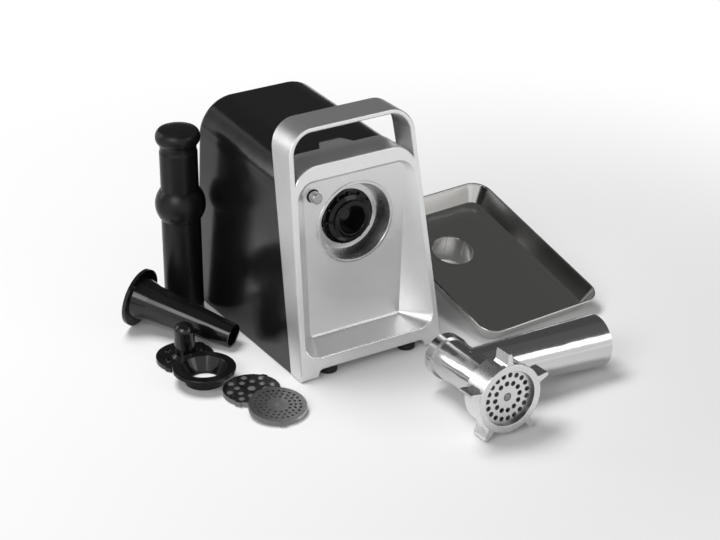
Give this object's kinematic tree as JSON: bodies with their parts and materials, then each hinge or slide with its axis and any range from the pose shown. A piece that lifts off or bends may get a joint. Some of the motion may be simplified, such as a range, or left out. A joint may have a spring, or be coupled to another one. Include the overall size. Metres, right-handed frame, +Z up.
{
  "type": "electric meat grinder",
  "caption": "Electric meat grinder: motor unit with strap handle and drive port, loose grinding head, tray, pusher, sausage tube, kebbe pieces and spare plates beside it.",
  "frame": {"origin": "middle of the whole layout's footprint, on the table", "axes": "+X to the unit's right, +Y to its rear, +Z up; the front panel faces -Y"},
  "size_m": [0.4372, 0.4001, 0.238],
  "materials": {
    "silver_plastic": "satin silver paint",
    "black_gloss": "glossy black",
    "black_satin": "satin black",
    "inner_plastic": "moulded dark grey",
    "white_plastic": "natural nylon",
    "rubber": "matt black rubber",
    "collar_metal": "satin",
    "cast_aluminium": "polished casting",
    "steel": "machined steel",
    "plate_light": "ground steel",
    "plate_grey": "ground steel",
    "plate_dark": "blackened steel",
    "tray_steel": "bright pressed sheet",
    "lamination": "laminated sheet",
    "copper": "enamelled copper",
    "bronze": "sintered bronze",
    "carbon": "graphite"
  },
  "bodies": {
    "motor_unit": {"front_frame": "silver_plastic", "rear_shell": "black_gloss", "base_plate": "black_satin", "base_screws": "steel", "rubber_feet": "rubber", "latch_guide": "inner_plastic", "lock_spring": "steel", "locking_collar": "collar_metal", "gearbox_housing": "inner_plastic", "output_bearing": "bronze", "gearbox_cover": "inner_plastic", "cover_screws": "steel", "front_bearing": "steel", "rear_bearing": "steel", "motor_stator": "lamination", "field_coils": "copper", "motor_bracket": "collar_metal", "brush_holders": "bronze", "carbon_brushes": "carbon", "motor_bolts": "steel", "switch_body": "black_satin", "cord_grommet": "rubber"},
    "lock_release": {"lock_button": "silver_plastic", "lock_latch": "inner_plastic"},
    "power_switch": {"power_rocker": "black_gloss"},
    "rotor": {"motor_shaft": "steel", "armature_core": "lamination", "armature_windings": "copper", "commutator": "copper", "cooling_fan": "white_plastic"},
    "intermediate": {"intermediate_gear": "white_plastic", "intermediate_pinion": "steel"},
    "output": {"output_gear": "steel", "output_shaft": "steel", "drive_coupler": "black_gloss"},
    "grinder_head": {"head_casting": "cast_aluminium", "medium_plate": "plate_light", "screw_bush": "white_plastic"},
    "screw": {"feed_screw": "cast_aluminium", "cutting_blade": "steel"},
    "nut": {"ring_nut": "cast_aluminium"},
    "pusher": {"pusher_body": "black_satin", "pusher_cap": "black_satin"},
    "stuffer": {"sausage_tube": "black_gloss"},
    "tray": {"tray_pan": "tray_steel", "tray_spout": "tray_steel"},
    "kebbe_outer": {"kebbe_ring": "black_gloss"},
    "kebbe_inner": {"kebbe_cone": "black_gloss"},
    "coarse": {"coarse_plate": "plate_dark"},
    "fine": {"fine_plate": "plate_grey"}
  },
  "joints": [
    {"name": "lock_press", "type": "slide", "parent": "motor_unit", "child": "lock_release", "axis": [0, 1, 0], "range_m": [0, 0.0045], "stiffness_N_per_m": 600, "springref_m": -0.004, "deforming": ["lock_spring"]},
    {"name": "rocker_tip", "type": "hinge", "parent": "motor_unit", "child": "power_switch", "pos_m": [0.03669, 0.12804, 0.12], "axis": [0.005, -1, 0], "range_deg": [0, 18]},
    {"name": "rotor_spin", "type": "hinge", "parent": "motor_unit", "child": "rotor", "pos_m": [-0.03511, 0.11804, 0.04825], "axis": [0, 1, 0], "continuous": true},
    {"name": "intermediate_spin", "type": "hinge", "parent": "motor_unit", "child": "intermediate", "pos_m": [-0.03511, 0.05804, 0.08725], "axis": [0, 1, 0], "continuous": true},
    {"name": "output_spin", "type": "hinge", "parent": "motor_unit", "child": "output", "pos_m": [-0.03511, 0.03804, 0.136], "axis": [0, 1, 0], "continuous": true},
    {"name": "head_lift", "type": "slide", "parent": "motor_unit", "child": "grinder_head", "axis": [0, 0, 1], "range_m": [0, 0.1]},
    {"name": "screw_spin", "type": "hinge", "parent": "grinder_head", "child": "screw", "pos_m": [-0.00211, -0.13396, 0.03472], "axis": [0, -0.9994, 0.0349], "continuous": true},
    {"name": "nut_turn", "type": "hinge", "parent": "grinder_head", "child": "nut", "pos_m": [-0.00211, -0.18593, 0.03654], "axis": [0, -0.9994, 0.0349], "range_deg": [0, 720]},
    {"name": "pusher_lift", "type": "slide", "parent": "motor_unit", "child": "pusher", "axis": [0, 0, 1], "range_m": [0, 0.1]},
    {"name": "stuffer_lift", "type": "slide", "parent": "motor_unit", "child": "stuffer", "axis": [-0.3, 0, 0.9539], "range_m": [0, 0.1]},
    {"name": "tray_lift", "type": "slide", "parent": "motor_unit", "child": "tray", "axis": [0, 0, 1], "range_m": [0, 0.1]},
    {"name": "kebbe_ring_lift", "type": "slide", "parent": "motor_unit", "child": "kebbe_outer", "axis": [0, 0, 1], "range_m": [0, 0.1]},
    {"name": "kebbe_cone_slide", "type": "slide", "parent": "motor_unit", "child": "kebbe_inner", "axis": [-1, 0, 0], "range_m": [0, 0.06]},
    {"name": "coarse_plate_slide", "type": "slide", "parent": "motor_unit", "child": "coarse", "axis": [0, -1, 0], "range_m": [0, 0.06]},
    {"name": "fine_plate_lift", "type": "slide", "parent": "coarse", "child": "fine", "axis": [0, 0, 1], "range_m": [0, 0.1]}
  ],
  "couplings": [
    {"joint": "intermediate_spin", "follows": "rotor_spin", "ratio": -0.2},
    {"joint": "output_spin", "follows": "rotor_spin", "ratio": 0.05}
  ]
}
